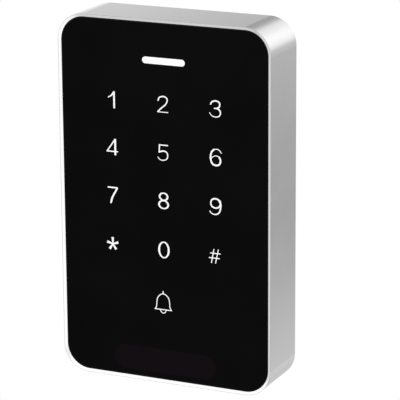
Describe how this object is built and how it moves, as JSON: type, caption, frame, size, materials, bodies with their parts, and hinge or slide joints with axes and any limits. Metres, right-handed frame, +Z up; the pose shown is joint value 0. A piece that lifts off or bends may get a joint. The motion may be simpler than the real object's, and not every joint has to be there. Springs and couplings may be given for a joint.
{
  "type": "keypad access reader",
  "caption": "Slim wall-mounted access reader: a silver metal frame round a glossy black touch panel with a printed keypad, a bell key and a status light bar.",
  "frame": {"origin": "middle of the wall plate's rear face, which lies on the wall", "axes": "+Z up along the reader's height, +X to the right as seen from the front, +Y into the wall, so the keypad faces -Y"},
  "size_m": [0.074, 0.021, 0.12],
  "materials": {
    "satin_aluminium": "satin anodised, with a polished bevel round the front opening",
    "gloss_black_panel": "high gloss black",
    "white_diffuser": "milky white, smooth",
    "circuit_board": "solder mask",
    "coil_copper": "enamelled copper winding",
    "black_epoxy": "moulded, matt",
    "tinned_metal": "drawn metal can",
    "relay_blue": "semi-gloss moulding",
    "connector_white": "off-white nylon",
    "black_abs": "fine spark-eroded texture",
    "black_silicone": "matt, slightly dusty",
    "foam_tape": "closed-cell foam",
    "zinc_plated_steel": "bright zinc, faintly spangled",
    "stainless_steel": "machined",
    "natural_nylon": "waxy, off-white"
  },
  "bodies": {
    "plate": {"wall_plate": "zinc_plated_steel"},
    "housing": {"main_board": "circuit_board", "antenna_coil": "coil_copper", "microcontroller": "black_epoxy", "touch_controller": "black_epoxy", "card_reader_chip": "black_epoxy", "crystal": "tinned_metal", "relay": "relay_blue", "buzzer": "black_epoxy", "bulk_capacitor": "tinned_metal", "voltage_regulator": "black_epoxy", "power_inductor": "black_epoxy", "protection_diode": "black_epoxy", "wiring_header_8": "connector_white", "wiring_header_4": "connector_white", "tamper_switch": "black_epoxy", "frame_shell": "satin_aluminium", "front_panel": "gloss_black_panel", "panel_adhesive": "foam_tape", "status_light_bar": "white_diffuser", "key_light_guide": "white_diffuser", "back_cover": "black_abs", "cover_gasket": "black_silicone", "wire_grommet": "black_silicone", "key_led_1": "white_diffuser", "key_led_2": "white_diffuser", "key_led_3": "white_diffuser", "key_led_4": "white_diffuser", "key_led_5": "white_diffuser", "key_led_6": "white_diffuser", "key_led_7": "white_diffuser", "key_led_8": "white_diffuser", "key_led_9": "white_diffuser", "key_led_star": "white_diffuser", "key_led_0": "white_diffuser", "key_led_hash": "white_diffuser", "key_led_bell": "white_diffuser", "status_led_red": "white_diffuser", "status_led_green": "white_diffuser", "status_led_blue": "white_diffuser", "board_screw_1": "stainless_steel", "cover_screw_1": "stainless_steel", "board_screw_2": "stainless_steel", "cover_screw_2": "stainless_steel", "board_screw_3": "stainless_steel", "cover_screw_3": "stainless_steel", "board_screw_4": "stainless_steel", "cover_screw_4": "stainless_steel"},
    "plunger": {"tamper_plunger": "natural_nylon"},
    "washer": {"security_screw_washer": "natural_nylon"},
    "screw": {"security_screw": "stainless_steel"}
  },
  "joints": [
    {"name": "housing_tilt", "type": "hinge", "parent": "plate", "child": "housing", "pos_m": [0, -0.0003, 0.05975], "axis": [-1, 0, 0], "range_deg": [0, 18]},
    {"name": "tamper_travel", "type": "slide", "parent": "housing", "child": "plunger", "axis": [0, 1, 0], "range_m": [0, 0.0015], "stiffness_N_per_m": 25, "springref_m": 0.006},
    {"name": "washer_travel", "type": "slide", "parent": "housing", "child": "washer", "axis": [0, 0, 1], "range_m": [0, 0.0022]},
    {"name": "screw_turn", "type": "hinge", "parent": "washer", "child": "screw", "pos_m": [0, -0.005, -0.0598], "axis": [0, 0, 1], "range_deg": [0, 1585]}
  ],
  "couplings": [
    {"joint": "screw_turn", "follows": "washer_travel", "rad_per_m": 12566}
  ]
}
